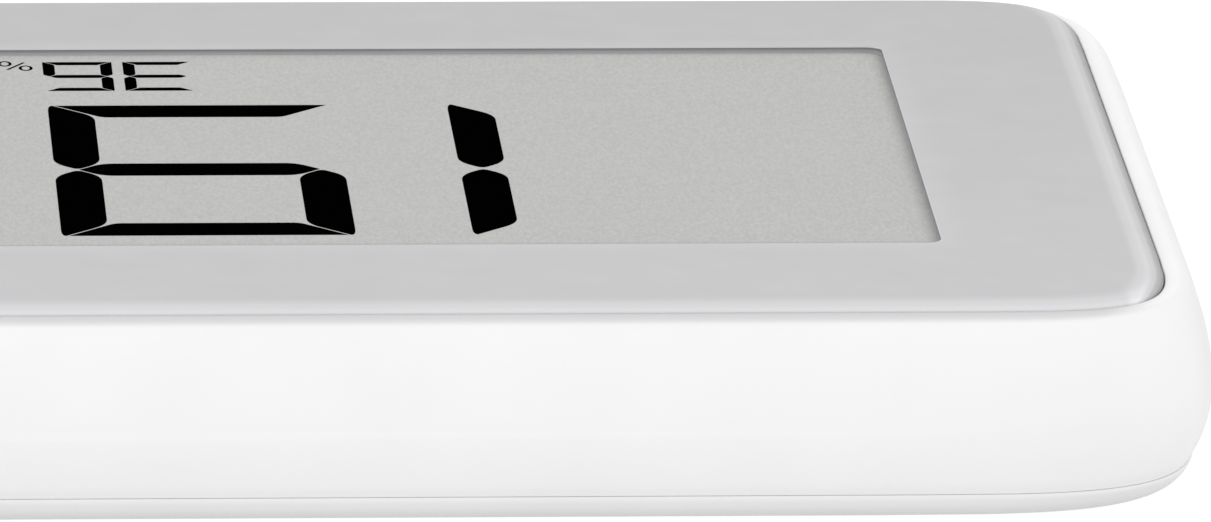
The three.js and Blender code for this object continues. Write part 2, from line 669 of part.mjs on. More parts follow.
addPiece('switch_plunger', plunger, 'membrane');

// ---------------------------------------------------------------- battery
const pouchShape = roundedShape(
  BATTERY_LENGTH - 2 * BATTERY_EDGE, BATTERY_WIDTH - 2 * BATTERY_EDGE, 1, BATTERY_X, BATTERY_Y,
);
const pouch = new THREE.ExtrudeGeometry(pouchShape, {
  depth: BATTERY_THICKNESS - 2 * BATTERY_EDGE,
  bevelEnabled: true,
  bevelThickness: BATTERY_EDGE,
  bevelSize: BATTERY_EDGE,
  bevelSegments: 2,
  curveSegments: 2,
}).translate(0, 0, BATTERY_BOTTOM_Z + BATTERY_EDGE);
addPiece('battery_pouch', pouch, 'pouch');
const tapeShape = roundedShape(BATTERY_LENGTH - 8, BATTERY_WIDTH - 10, 1, BATTERY_X, BATTERY_Y);
addPiece('battery_tape', plate(tapeShape, STAND_BLOCK_TOP_Z, BATTERY_BOTTOM_Z), 'tape');
const batteryEnd = BATTERY_X + BATTERY_LENGTH / 2;
const guard = block(2.4, 16, batteryEnd + 1.25, BATTERY_Y, 4.3, 6.5);
addPiece('battery_guard_board', guard, 'boardGreen');
addPiece('battery_socket', boardBlock(BATTERY_SOCKET), 'membrane');
const [plugX, plugY, plugWidth, plugDepth, plugBottom] = BATTERY_PLUG;
const plug = block(plugWidth, plugDepth, plugX, plugY, plugBottom, BATTERY_SOCKET[4] - 0.05);
addPiece('battery_plug', plug, 'membrane');

// A round lead from the guard board to the plug, with its own offset at each end.
function lead(startY, bendX, bendY, endX) {
  const startX = batteryEnd + 2.5;
  const points = [
    [startX, startY, 5.4], [startX + 1.2, startY, 5.4], [bendX, bendY, 5.6],
    [endX, -16.4, 5.7], [endX, plugY + plugDepth / 2 + 0.05, 5.7],
  ];
  const path = new THREE.CatmullRomCurve3(points.map((point) => new THREE.Vector3(...point)));
  const section = new THREE.Shape();
  section.absarc(0, 0, LEAD_RADIUS, 0, Math.PI * 2, false);
  return new THREE.ExtrudeGeometry(section, { steps: 12, extrudePath: path, curveSegments: 4 });
}
addPiece('battery_lead_positive', lead(-6, 30.6, -10.5, plugX + 0.8), 'redLead');
addPiece('battery_lead_negative', lead(-9, 29.1, -13, plugX - 0.8), 'blackLead');

// ---------------------------------------------------------------- rear cover
const coverSection = [
  [2.2, PAD_PROUD], [1.7, 0.34], [1.3, 0.48], [1.0, 0.74], [0.8, 1.08], [0.75, 1.3],
  [0.88, COVER_FLOOR_TOP],
];
const lipOutside = WALL_INSET + 0.13;
const lipInside = WALL_INSET + 0.93;
const lipSection = [
  [lipOutside, 1.2], [lipOutside, LIP_TOP_Z], [lipInside, LIP_TOP_Z], [lipInside, 1.2],
];
const pocketWidth = STAND_WIDTH + 2 * STAND_CLEARANCE;
const pocketNear = STAND_TIP_Y - 0.4;
const pocketFar = STAND_HINGE_Y + STAND_BARREL_RADIUS + 0.3;
const pocketMiddle = (pocketNear + pocketFar) / 2;
const pocketLength = pocketFar - pocketNear;
const standBlock = block(
  pocketWidth + 2 * STAND_BLOCK_WALL, pocketLength + 1.6, 0, pocketMiddle, 1, STAND_BLOCK_TOP_Z,
);
const standPocket = block(pocketWidth, pocketLength, 0, pocketMiddle, -1, STAND_POCKET_ROOF_Z);
const scoopY = STAND_TIP_Y + 8;
const scoopWalls = [-1, 1].map((side) => (
  rod(SCOOP_RADIUS + 1, side * pocketWidth / 2, scoopY, 1, SCOOP_TOP_Z + 0.8, 24)
));
const fingerScoops = [-1, 1].map((side) => (
  rod(SCOOP_RADIUS, side * pocketWidth / 2, scoopY, -1, SCOOP_TOP_Z, 24)
));
const boreHalf = STAND_PIN_HALF + 0.1;
const pinBore = crossRod(STAND_PIN_RADIUS + 0.02, -boreHalf, boreHalf, STAND_HINGE_Y, STAND_HINGE_Z);
const coverBosses = corners.map(([signX, signY]) => (
  rod(BOSS_RADIUS, signX * SCREW_X, signY * SCREW_Y, 1, COVER_BOSS_TOP_Z, 16)
));
const screwSinks = corners.flatMap(([signX, signY]) => [
  rod(PAD_RADIUS + 0.08, signX * SCREW_X, signY * SCREW_Y, -1, PAD_THICKNESS, 24),
  rod(SCREW_HEAD_RADIUS + 0.1, signX * SCREW_X, signY * SCREW_Y, 0, 1.9, 16),
  rod(SCREW_SHANK_RADIUS + 0.1, signX * SCREW_X, signY * SCREW_Y, 0, 4, 12),
]);

function slots(x, y) {
  const tools = [];
  for (let i = 0; i < SLOT_COUNT; i += 1) {
    const slotX = x + (i - (SLOT_COUNT - 1) / 2) * SLOT_PITCH;
    const shape = roundedShape(SLOT_WIDTH, SLOT_LENGTH, SLOT_WIDTH / 2 - 0.01, slotX, y);
    tools.push(plate(shape, -1, 5, 2));
  }
  return tools;
}
const gasketSeat = plate(
  roundedShape(GASKET_SIZE + 0.2, GASKET_SIZE + 0.2, 1, SENSOR_X, SENSOR_Y), GASKET_BOTTOM_Z, 5,
);
const rearCover = cut(
  fuse(loft(coverSection, false), loft(lipSection, true), standBlock, ...scoopWalls, ...coverBosses),
  standPocket, ...fingerScoops, pinBore, ...screwSinks, gasketSeat,
  ...slots(SENSOR_X, SENSOR_Y), ...slots(HUMIDITY_X, HUMIDITY_Y),
);
addPiece('rear_cover', rearCover, 'whiteShell');

corners.forEach(([signX, signY], i) => {
  const x = signX * SCREW_X;
  const y = signY * SCREW_Y;
  const head = fuse(
    rod(SCREW_HEAD_RADIUS, x, y, PAD_THICKNESS + 0.1, 1.85, 16),
    rod(SCREW_SHANK_RADIUS, x, y, 1.8, SCREW_TOP_Z, 12),
  );
  const cross = [block(1.8, 0.4, x, y, 0.5, 1.5), block(0.4, 1.8, x, y, 0.5, 1.5)];
  addPiece(`cover_screw_${i + 1}`, cut(head, ...cross), 'steel');
  const pad = new THREE.CylinderGeometry(PAD_RADIUS, PAD_RADIUS - 0.15, PAD_THICKNESS, 24);
  addPiece(`corner_pad_${i + 1}`, pad.rotateX(Math.PI / 2).translate(x, y, PAD_THICKNESS / 2), 'rubber');
});

// ---------------------------------------------------------------- stand
const standTopZ = STAND_BOTTOM_Z + STAND_THICKNESS;
const standLength = STAND_HINGE_Y - STAND_TIP_Y;
const standMiddle = (STAND_HINGE_Y + STAND_TIP_Y) / 2;
const tipSeat = block(
  TIP_PAD_LENGTH + 0.1, 2 * TIP_PAD_DEPTH + 0.1, 0, STAND_TIP_Y, STAND_BOTTOM_Z - 1, standTopZ + 1,
);
const standLeg = cut(
  fuse(
    plate(roundedShape(STAND_WIDTH, standLength, 2.4, 0, standMiddle), STAND_BOTTOM_Z, standTopZ, 4),
    block(STAND_WIDTH, 6, 0, STAND_HINGE_Y - 3, STAND_BOTTOM_Z, standTopZ),
    crossRod(STAND_BARREL_RADIUS, -STAND_WIDTH / 2, STAND_WIDTH / 2, STAND_HINGE_Y, STAND_HINGE_Z),
  ),
  crossRod(STAND_PIN_RADIUS + 0.1, -30, 30, STAND_HINGE_Y, STAND_HINGE_Z),
  tipSeat,
);
addPiece('stand_leg', standLeg, 'whiteShell');
const tipPad = block(
  TIP_PAD_LENGTH, TIP_PAD_DEPTH, 0, STAND_TIP_Y + TIP_PAD_DEPTH / 2,
  STAND_BOTTOM_Z + 0.02, standTopZ - 0.02,
);
addPiece('stand_tip_pad', tipPad, 'rubber');
const standPin = crossRod(
  STAND_PIN_RADIUS, -STAND_PIN_HALF, STAND_PIN_HALF, STAND_HINGE_Y, STAND_HINGE_Z,
);
addPiece('stand_pin', standPin, 'steel');

export default group;
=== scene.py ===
# Carbon dioxide monitor lying on its back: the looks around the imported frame. Metres, same axes as the frame.
import math
import bmesh
import bpy
from mathutils import Matrix, Vector


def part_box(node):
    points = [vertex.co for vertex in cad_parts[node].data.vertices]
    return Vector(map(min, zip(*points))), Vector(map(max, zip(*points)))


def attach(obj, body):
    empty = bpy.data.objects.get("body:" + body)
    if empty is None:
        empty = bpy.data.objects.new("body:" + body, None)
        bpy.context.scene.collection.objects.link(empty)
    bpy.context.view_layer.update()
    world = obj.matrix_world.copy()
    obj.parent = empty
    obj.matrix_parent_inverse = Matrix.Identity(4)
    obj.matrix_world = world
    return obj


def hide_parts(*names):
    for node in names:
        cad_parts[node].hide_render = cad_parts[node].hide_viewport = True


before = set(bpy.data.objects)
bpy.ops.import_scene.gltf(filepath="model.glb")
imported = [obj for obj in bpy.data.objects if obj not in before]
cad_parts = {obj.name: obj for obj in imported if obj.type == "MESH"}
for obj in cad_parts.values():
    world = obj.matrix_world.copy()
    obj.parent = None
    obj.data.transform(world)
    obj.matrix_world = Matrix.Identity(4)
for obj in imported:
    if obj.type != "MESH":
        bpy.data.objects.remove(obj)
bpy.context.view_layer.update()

MM = 0.001

# ------------------------------------------------------------------ sizes read from the frame
house_lo, house_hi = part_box("front_housing")
bezel_lo, bezel_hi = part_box("front_bezel")
face_lo, face_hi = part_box("display_face")
ink_lo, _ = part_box("display_segments")
cover_lo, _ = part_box("rear_cover")
button_lo, button_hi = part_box("mode_button")
socket_lo, socket_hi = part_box("socket_shell")
leg_lo, leg_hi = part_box("stand_leg")
tip_lo, tip_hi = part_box("stand_tip_pad")
pin_lo, pin_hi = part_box("stand_pin")
HALF_X = (house_hi.x - house_lo.x) / 2
HALF_Y = (house_hi.y - house_lo.y) / 2
FACE_Z = bezel_hi.z
BASE_Z = cover_lo.z
# Corners of the case: how far along the sides they begin, the power of their curve, and how much more the
# outline moves in along the two long sides.
FLANK = (13.7 * MM, 3.5, 0.0)
PANEL = (11.0 * MM, 3.1, 0.15 * MM)
COVER = (15.6 * MM, 3.5, 0.0)
STEPS = 28
SHARP = 35


# ------------------------------------------------------------------ shape helpers
def corner_at(blend):
    """Corner values on the way from the flank to the panel, at 1, or to the cover, at -1."""
    end = PANEL if blend > 0 else COVER
    return tuple(p + (q - p) * abs(blend) for p, q in zip(FLANK, end))


def body_outline(inset, blend=0.0, steps=STEPS):
    """Plan outline of the case moved inwards by inset; blend picks the corners, as for corner_at."""
    reach, n, long_side_extra = corner_at(blend)
    half_y = HALF_Y - long_side_extra
    points = []
    for quadrant in range(4):
        side_x = 1 if quadrant in (0, 3) else -1
        side_y = 1 if quadrant < 2 else -1
        for step in range(steps + 1):
            angle = (quadrant + step / steps) * math.pi / 2
            nx, ny = abs(math.cos(angle)), abs(math.sin(angle))
            nx, ny = (0.0 if v < 1e-9 else v for v in (nx, ny))
            scale = (nx ** (n / (n - 1)) + ny ** (n / (n - 1))) ** (-1 / n)
            reach_x = reach * (scale * nx ** (1 / (n - 1)) - 1)
            reach_y = reach * (scale * ny ** (1 / (n - 1)) - 1)
            points.append((side_x * (HALF_X + reach_x - inset * nx),
                           side_y * (half_y + reach_y - inset * ny)))
    return points


def rounded(half_x, half_y, radius, x=0.0, y=0.0, steps=STEPS):
    """A rounded rectangle with the same count and order of points as the body outline."""
    points = []
    for quadrant in range(4):
        cx = x + (half_x - radius) * (1 if quadrant in (0, 3) else -1)
        cy = y + (half_y - radius) * (1 if quadrant < 2 else -1)
        for step in range(steps + 1):
            angle = (quadrant + step / steps) * math.pi / 2
            points.append((cx + radius * math.cos(angle), cy + radius * math.sin(angle)))
    return points


def chaikin(points, rounds=2):
    """Softens an open line by cutting its corners, keeping its ends."""
    for _ in range(rounds):
        soft = [points[0]]
        for a, b in zip(points, points[1:]):
            soft.append(tuple(p * 0.75 + q * 0.25 for p, q in zip(a, b)))
            soft.append(tuple(p * 0.25 + q * 0.75 for p, q in zip(a, b)))
        points = soft + [points[-1]]
    return points


def flowing(points, steps=4):
    """A smooth open line that passes through every point."""
    ends = [points[0]] + list(points) + [points[-1]]
    line = []
    for a, b, c, d in zip(ends, ends[1:], ends[2:], ends[3:]):
        for step in range(steps):
            f = step / steps
            line.append(tuple(
                0.5 * (2 * q + (r - p) * f + (2 * p - 5 * q + 4 * r - s) * f ** 2
                       + (3 * q - p - 3 * r + s) * f ** 3)
                for p, q, r, s in zip(a, b, c, d)))
    return line + [points[-1]]


def mesh_object(name, bm, angle=SHARP):
    bmesh.ops.recalc_face_normals(bm, faces=bm.faces)
    mesh = bpy.data.meshes.new(name)
    bm.to_mesh(mesh)
    bm.free()
    for polygon in mesh.polygons:
        polygon.use_smooth = True
    mesh.set_sharp_from_angle(angle=math.radians(angle))
    obj = bpy.data.objects.new(name, mesh)
    bpy.context.scene.collection.objects.link(obj)
    return obj


def add_skin(bm, rings, closed=False):
    """Adds a skin through rings of (points, height). A closed one is a frame, an open one gets end caps."""
    made = [[bm.verts.new((x, y, z)) for x, y in points] for points, z in rings]
    count = len(made[0])
    pairs = list(zip(made, made[1:])) + ([(made[-1], made[0])] if closed else [])
    for low, high in pairs:
        for i in range(count):
            j = (i + 1) % count
            bm.faces.new((low[i], low[j], high[j], high[i]))
    if not closed:
        bm.faces.new(made[0][::-1])
        bm.faces.new(made[-1])


def skin(name, rings, closed=False, angle=SHARP):
    bm = bmesh.new()
    add_skin(bm, rings, closed)
    return mesh_object(name, bm, angle)


def add_prism(bm, points, low, high):
    """An upright prism on a plan outline."""
    add_skin(bm, [(points, low), (points, high)])


def oval(half_x, half_y, x, y, count=48):
    turns = [2 * math.pi * i / count for i in range(count)]
    return [(x + half_x * math.cos(turn), y + half_y * math.sin(turn)) for turn in turns]


def disc(radius, x, y, count=64):
    return oval(radius, radius, x, y, count)


def cut(obj, tool_mesh_builder):
    """Cuts a shape out of obj with one exact boolean, then drops the tool."""
    bm = bmesh.new()
    tool_mesh_builder(bm)
    tool = mesh_object("cutter", bm)
    modifier = obj.modifiers.new("cut", "BOOLEAN")
    modifier.operation = "DIFFERENCE"
    modifier.solver = "EXACT"
    modifier.object = tool
    bake(obj)
    bpy.data.objects.remove(tool)


def bake(obj):
    """Applies the modifiers of obj to its mesh and shades it smooth up to SHARP degrees."""
    graph = bpy.context.evaluated_depsgraph_get()
    mesh = bpy.data.meshes.new_from_object(obj.evaluated_get(graph))
    obj.modifiers.clear()
    obj.data = mesh
    for polygon in mesh.polygons:
        polygon.use_smooth = True
    mesh.set_sharp_from_angle(angle=math.radians(SHARP))


def bevel(obj, width):
    modifier = obj.modifiers.new("edges", "BEVEL")
    modifier.width = width
    modifier.segments = 3
    modifier.limit_method = "ANGLE"
    modifier.angle_limit = math.radians(40)
    modifier.harden_normals = False
    return obj


# ------------------------------------------------------------------ materials
ROUGH_SPREAD = 0.06


def worked(mat, operation, first, second=None):
    """A maths node on sockets or plain numbers; gives its output."""
    node = mat.node_tree.nodes.new("ShaderNodeMath")
    node.operation = operation
    for socket, item in zip(node.inputs, (first, second)):
        if isinstance(item, float):
            socket.default_value = item
        elif item is not None:
            mat.node_tree.links.new(item, socket)
    return node.outputs["Value"]


def material(name, colour, rough, bump=0.06, grain=5200, mottle=0.012, metal=0.0, specular=0.5,
             coat=0.0, edge=0.0, speckle=0.0, speckle_scale=9000, stretch=1.0):
    """A surface with fine grain in its bump, soft mottling in colour and roughness, and lighter edges."""
    mat = bpy.data.materials.new(name)
    mat.use_nodes = True
    nodes, links = mat.node_tree.nodes, mat.node_tree.links
    shader = nodes["Principled BSDF"]
    shader.inputs["Metallic"].default_value = metal
    shader.inputs["Specular IOR Level"].default_value = specular
    shader.inputs["Coat Weight"].default_value = coat
    place = nodes.new("ShaderNodeTexCoord")

    def noise(scale, detail=3.0, roughness=0.5):
        node = nodes.new("ShaderNodeTexNoise")
        node.inputs["Scale"].default_value = scale
        node.inputs["Detail"].default_value = detail
        node.inputs["Roughness"].default_value = roughness
        links.new(place.outputs["Object"], node.inputs["Vector"])
        return node

    def ramp(source, low, high):
        node = nodes.new("ShaderNodeMapRange")
        node.inputs["From Min"].default_value = 0.3
        node.inputs["From Max"].default_value = 0.7
        node.inputs["To Min"].default_value = low
        node.inputs["To Max"].default_value = high
        links.new(source, node.inputs["Value"])
        return node.outputs["Result"]

    broad = noise(140, 4.0)
    tint = nodes.new("ShaderNodeHueSaturation")
    tint.inputs["Color"].default_value = (*colour, 1)
    value = ramp(broad.outputs["Fac"], 1 - mottle, 1 + mottle)
    if speckle:
        fine = noise(speckle_scale, 2.0, 0.7)
        squeeze = nodes.new("ShaderNodeMapping")
        squeeze.inputs["Scale"].default_value = (1, stretch, 1)
        links.new(place.outputs["Object"], squeeze.inputs["Vector"])
        links.new(squeeze.outputs["Vector"], fine.inputs["Vector"])
        value = worked(mat, "MULTIPLY", value, ramp(fine.outputs["Fac"], 1 - speckle, 1 + speckle))
    if edge:
        shape = nodes.new("ShaderNodeNewGeometry")
        worn = nodes.new("ShaderNodeMapRange")
        worn.inputs["From Min"].default_value = 0.52
        worn.inputs["From Max"].default_value = 0.62
        worn.inputs["To Min"].default_value = 1.0
        worn.inputs["To Max"].default_value = 1 + edge
        links.new(shape.outputs["Pointiness"], worn.inputs["Value"])
        value = worked(mat, "MULTIPLY", value, worn.outputs["Result"])
    links.new(value, tint.inputs["Value"])
    links.new(tint.outputs["Color"], shader.inputs["Base Color"])
    links.new(ramp(noise(420, 3.0).outputs["Fac"], rough - ROUGH_SPREAD, rough + ROUGH_SPREAD),
              shader.inputs["Roughness"])
    height = nodes.new("ShaderNodeBump")
    height.inputs["Strength"].default_value = bump
    height.inputs["Distance"].default_value = 0.00002
    links.new(noise(grain, 2.0, 0.6).outputs["Fac"], height.inputs["Height"])
    links.new(height.outputs["Normal"], shader.inputs["Normal"])
    return mat


def multiply_tint(mat, source, stops):
    """Multiplies the tint of a material by a factor that follows a place; stops are (place, factor)."""
    nodes, links = mat.node_tree.nodes, mat.node_tree.links
    tint = next(node for node in nodes if node.type == "HUE_SAT")
    value = tint.inputs["Value"].links[0].from_socket
    start = stops[0][1]
    for (low, before), (high, after) in zip(stops, stops[1:]):
        step = nodes.new("ShaderNodeMapRange")
        step.interpolation_type = "SMOOTHSTEP"
        step.inputs["From Min"].default_value = low
        step.inputs["From Max"].default_value = high
        step.inputs["To Min"].default_value = start
        step.inputs["To Max"].default_value = start * after / before
        start = 1.0
        links.new(source, step.inputs["Value"])
        value = worked(mat, "MULTIPLY", value, step.outputs["Result"])
    links.new(value, tint.inputs["Value"])


def parts_of(mat, kind):
    """The X, Y and Z outputs of a point's place, kind "Object", or of its normal, kind "Normal"."""
    nodes, links = mat.node_tree.nodes, mat.node_tree.links
    split = nodes.new("ShaderNodeSeparateXYZ")
    links.new(nodes.new("ShaderNodeTexCoord").outputs[kind], split.inputs["Vector"])
    return split.outputs


def shade_by_side(mat, stops):
    """Paints light and shade into the tint by how far a surface faces the ends of the case, less a share of how
    far it faces the sides.
    """
    normal = parts_of(mat, "Normal")
    ends, sides = (worked(mat, "ABSOLUTE", normal[axis]) for axis in "XY")
    multiply_tint(mat, worked(mat, "SUBTRACT", ends, worked(mat, "MULTIPLY", sides, 0.6)), stops)


def shade_by_top(mat, stops):
    """Paints light and shade into the tint by how far the surface faces up, from 0 to 1."""
    multiply_tint(mat, parts_of(mat, "Normal")["Z"], stops)


def shade_long_rims(mat, low, high, depth):
    """Paints a soft shade onto the rim beside the seam of the panel, along the two long sides only."""
    place = parts_of(mat, "Object")
    rise = worked(mat, "DIVIDE", worked(mat, "SUBTRACT", place["Z"], low), high - low)
    end = worked(mat, "SUBTRACT", HALF_X - 2.3 * MM, worked(mat, "ABSOLUTE", place["X"]))
    along = worked(mat, "DIVIDE", end, 3.5 * MM)
    for socket in (rise, along):
        socket.node.use_clamp = True
    multiply_tint(mat, worked(mat, "MULTIPLY", rise, along), [(0.0, 1.0), (1.0, 1 - depth)])


# Paints light and shade into the tint by height.
def shade_by_height(mat, stops):
    multiply_tint(mat, parts_of(mat, "Object")["Z"], stops)


def shade_by_depth(mat, stops):
    """Paints light and shade into the tint along Y, from the bottom edge of the display to its top edge."""
    multiply_tint(mat, parts_of(mat, "Object")["Y"], stops)


def shade_by_end(mat, stops):
    """Paints light and shade into the tint by the distance from the middle along X, the same at both ends."""
    multiply_tint(mat, worked(mat, "ABSOLUTE", parts_of(mat, "Object")["X"]), stops)


def shade_by_frame(mat, half_x, half_y, stops):
    """Paints light and shade into the tint by the distance outside a rectangle round the middle."""
    place = parts_of(mat, "Object")
    beyond_x = worked(mat, "SUBTRACT", worked(mat, "ABSOLUTE", place["X"]), half_x)
    beyond_y = worked(mat, "SUBTRACT", worked(mat, "ABSOLUTE", place["Y"]), half_y)
    multiply_tint(mat, worked(mat, "MAXIMUM", beyond_x, beyond_y), stops)


WHITE = material("white_moulding", (0.705, 0.705, 0.705), 0.46, bump=0.10, edge=0.02, specular=0.35)
# Painted light: up-facing white faces are lightened by up to 5 %.
shade_by_top(WHITE, [(0.8, 1.0), (1.0, 1.05)])
# Painted shade: white faces turned to the ends of the case are darkened towards the silhouettes.
shade_by_side(WHITE, [(0.55, 1.0), (0.95, 0.92)])
# Painted shade: the white flank is darkened just above the lower seam.
shade_by_height(WHITE, [(1.62 * MM, 0.955), (2.1 * MM, 1.0)])
# Painted shadow: a soft dark band on the white rim below the panel's long edges.
shade_long_rims(WHITE, 9.32 * MM, 9.63 * MM, 0.32)
COVER_WHITE = material("cover_moulding", (0.63, 0.63, 0.63), 0.5, bump=0.12, edge=0.02, specular=0.3)
# Painted shade low on the cover and a painted highlight along its top edge.
shade_by_height(COVER_WHITE, [(0.45 * MM, 0.88), (1.2 * MM, 0.99), (1.5 * MM, 1.06)])
GREY = material("grey_moulding", (0.429, 0.428, 0.436), 0.5, bump=0.10, specular=0.12)
# Painted highlight: the sloping crown of the panel is lightened towards its edge.
shade_by_height(GREY, [(FACE_Z - 0.5 * MM, 1.38), (FACE_Z - 0.22 * MM, 1.18), (FACE_Z - 0.004 * MM, 1.0)])
# Painted highlight and shade: a light band on crown slopes facing the ends, then a dark band in the groove by
# the seam.
shade_by_side(GREY, [(0.0, 1.0), (0.1, 1.14), (0.19, 1.18), (0.3, 0.98), (0.46, 0.68), (0.7, 0.48)])
# Painted highlight: a light strip round the window edge.
shade_by_frame(GREY, 43.5 * MM, 17.55 * MM, [(0.0, 1.05), (1.7 * MM, 1.0)])
# Painted light: the panel is lighter towards +Y and darker towards -Y.
shade_by_depth(GREY, [(-HALF_Y, 0.96), (HALF_Y, 1.04)])
# The gasket ring round the window: a real part in dark grey, made darker still as painted shade.
LINER = material("window_gasket_painted_shade", (0.36, 0.36, 0.37), 0.8, bump=0.2, grain=3000, mottle=0.05, specular=0.1)
# Painted shade: the gasket is darkened towards its top, under the window edge.
shade_by_height(LINER, [(face_hi.z, 1.0), (FACE_Z, 0.42)])
PAPER = material("paper_film", (0.411, 0.413, 0.4045), 0.8, bump=0.2, grain=7000, mottle=0.008, specular=0.15,
                 speckle=0.075, speckle_scale=6500, stretch=0.34)
# Painted shade: a thin dark line along the paper by the window's +Y edge.
shade_by_depth(PAPER, [(16.1 * MM, 1.0), (16.48 * MM, 0.86)])
# Painted shade: the paper darkens towards its two ends, under the window's end walls.
shade_by_end(PAPER, [(42.8 * MM, 1.0), (43.5 * MM, 0.82)])
INK = material("segment_ink", (0.0004, 0.0004, 0.0004), 0.9, bump=0.2, grain=7000, specular=0.0, speckle=0.2)
BLACK = material("black_moulding", (0.02, 0.02, 0.022), 0.5)
STEEL = material("plated_steel", (0.62, 0.63, 0.65), 0.3, metal=1.0, bump=0.05, grain=2600, mottle=0.04)
BOARD = material("solder_mask", (0.02, 0.13, 0.05), 0.35, bump=0.15, grain=1500, mottle=0.12, coat=0.3)
CHIP = material("chip_package", (0.02, 0.02, 0.022), 0.62, bump=0.3, grain=6500, mottle=0.1)
FERRITE = material("ferrite", (0.055, 0.055, 0.06), 0.7, bump=0.4, grain=3500, mottle=0.15)
MEMBRANE = material("natural_polymer", (0.80, 0.80, 0.77), 0.6, bump=0.15, mottle=0.03)
FOAM = material("cell_foam", (0.03, 0.03, 0.032), 0.95, bump=0.9, grain=2400, mottle=0.2)
POUCH = material("foil_pouch", (0.60, 0.62, 0.64), 0.36, metal=1.0, bump=0.5, grain=700, mottle=0.05)
TAPE = material("cream_tape", (0.76, 0.71, 0.56), 0.8, bump=0.4, grain=1800, mottle=0.06)
AMBER = material("amber_film", (0.45, 0.17, 0.03), 0.35, bump=0.08, mottle=0.08, coat=0.4)
GLASSY = material("backplane_film", (0.62, 0.55, 0.32), 0.35, bump=0.08, mottle=0.06)
RED = material("red_sleeve", (0.45, 0.03, 0.02), 0.45, bump=0.1)
DARK = material("black_sleeve", (0.02, 0.02, 0.022), 0.45, bump=0.1)
RUBBER = material("grey_silicone", (0.30, 0.30, 0.31), 0.85, bump=0.5, grain=3000, mottle=0.05, specular=0.3)


def finish_piece(obj, mat, slot, body, *nodes):
    obj.data.materials.clear()
    obj.data.materials.append(mat)
    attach(obj, body)
    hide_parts(*nodes)
    return obj


# ------------------------------------------------------------------ housing
WALL = 2.42 * MM
SHELF = 4.82 * MM
SEAM_Z = 1.58 * MM
RIM = 2.4 * MM
# Outer line of the shell from the seam up to the rim: (inset, height, corner blend), in millimetres.
FLANK_LINE = (
    (0.84, 1.575, -0.2), (0.815, 1.59, -0.2), (0.79, 1.65, -0.2), (0.74, 1.78, -0.2), (0.5, 2.25, -0.1),
    (0.24, 3.0, 0), (0.06, 3.8, 0), (0.0, 4.7, 0), (0.06, 5.5, 0), (0.25, 6.6, 0), (0.5, 7.6, 0),
    (0.78, 8.4, 0),
    (1.06, 9.0, 0), (1.3, 9.3, 0.1), (1.6, 9.53, 0.3), (1.95, 9.6, 0.6), (2.26, 9.59, 0.9), (2.37, 9.55, 1),
    (2.4, 9.42, 1))
flank = flowing([(i * MM, z * MM, blend) for i, z, blend in FLANK_LINE])
SHELF_TOP, SHELF_LOW = 8.7 * MM, 7.7 * MM
inside = [(RIM, SHELF_TOP, 1), (SHELF, SHELF_TOP, 0), (SHELF, SHELF_LOW, 0), (WALL, SHELF_LOW, 0),
          (WALL, SEAM_Z, -0.2)]
rings = [(body_outline(i, blend), z) for i, z, blend in flank + inside]
housing = skin("housing_shell", rings, closed=True, angle=40)

button_mid = (button_lo + button_hi) / 2
socket_mid = (socket_lo + socket_hi) / 2


def button_slot(bm):
    points = rounded(5.62 * MM, 1.52 * MM, 1.4 * MM, steps=8)
    add_skin(bm, [(points, -4 * MM), (points, 4 * MM)])
    at = Matrix.Translation((button_mid.x, HALF_Y - 0.5 * MM, button_mid.z))
    bmesh.ops.transform(bm, verts=bm.verts, matrix=at @ Matrix.Rotation(math.pi / 2, 4, "X"))


def socket_slot(bm):
    points = rounded(1.73 * MM, 4.62 * MM, 1.6 * MM, steps=8)
    wide = rounded(1.98 * MM, 4.87 * MM, 1.85 * MM, steps=8)
    add_skin(bm, [(points, -4 * MM), (points, 0.55 * MM), (wide, 0.85 * MM), (wide, 3 * MM)])
    at = Matrix.Translation((HALF_X - 0.9 * MM, socket_mid.y, socket_mid.z))
    bmesh.ops.transform(bm, verts=bm.verts, matrix=at @ Matrix.Rotation(math.pi / 2, 4, "Y"))


cut(housing, button_slot)
cut(housing, socket_slot)


def shelf_notch(bm):
    points = rounded(1.5 * MM, 7.0 * MM, 0.3 * MM, HALF_X - 4.0 * MM, socket_mid.y, steps=2)
    add_skin(bm, [(points, 7.6 * MM), (points, 8.8 * MM)])


cut(housing, shelf_notch)

screws = [(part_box(f"cover_screw_{i}")[0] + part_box(f"cover_screw_{i}")[1]) / 2 for i in range(1, 5)]
BOSS_LOW, BOSS_HIGH = 2.8 * MM, 8.2 * MM
bm = bmesh.new()
for at in screws:
    outer, inner = disc(2.5 * MM, at.x, at.y, 48), disc(0.8 * MM, at.x, at.y, 48)
    add_skin(bm, [(outer, BOSS_LOW), (outer, BOSS_HIGH), (inner, BOSS_HIGH), (inner, BOSS_LOW)], closed=True)
    sx, sy = math.copysign(1, at.x), math.copysign(1, at.y)
    edge_x, edge_y = HALF_X - 2.3 * MM, HALF_Y - 2.3 * MM
    for x0, x1, y0, y1 in ((at.x + sx * 2.3 * MM, sx * edge_x, at.y - 0.7 * MM, at.y + 0.7 * MM),
                           (at.x - 0.7 * MM, at.x + 0.7 * MM, at.y + sy * 2.3 * MM, sy * edge_y)):
        points = rounded(abs(x1 - x0) / 2, abs(y1 - y0) / 2, 0.1 * MM, (x0 + x1) / 2, (y0 + y1) / 2, steps=2)
        add_skin(bm, [(points, BOSS_LOW), (points, BOSS_HIGH)])
bosses = mesh_object("housing_bosses", bm)
finish_piece(housing, WHITE, "white_shell", "case", "front_housing")
finish_piece(bosses, WHITE, "white_shell", "case", "front_housing")

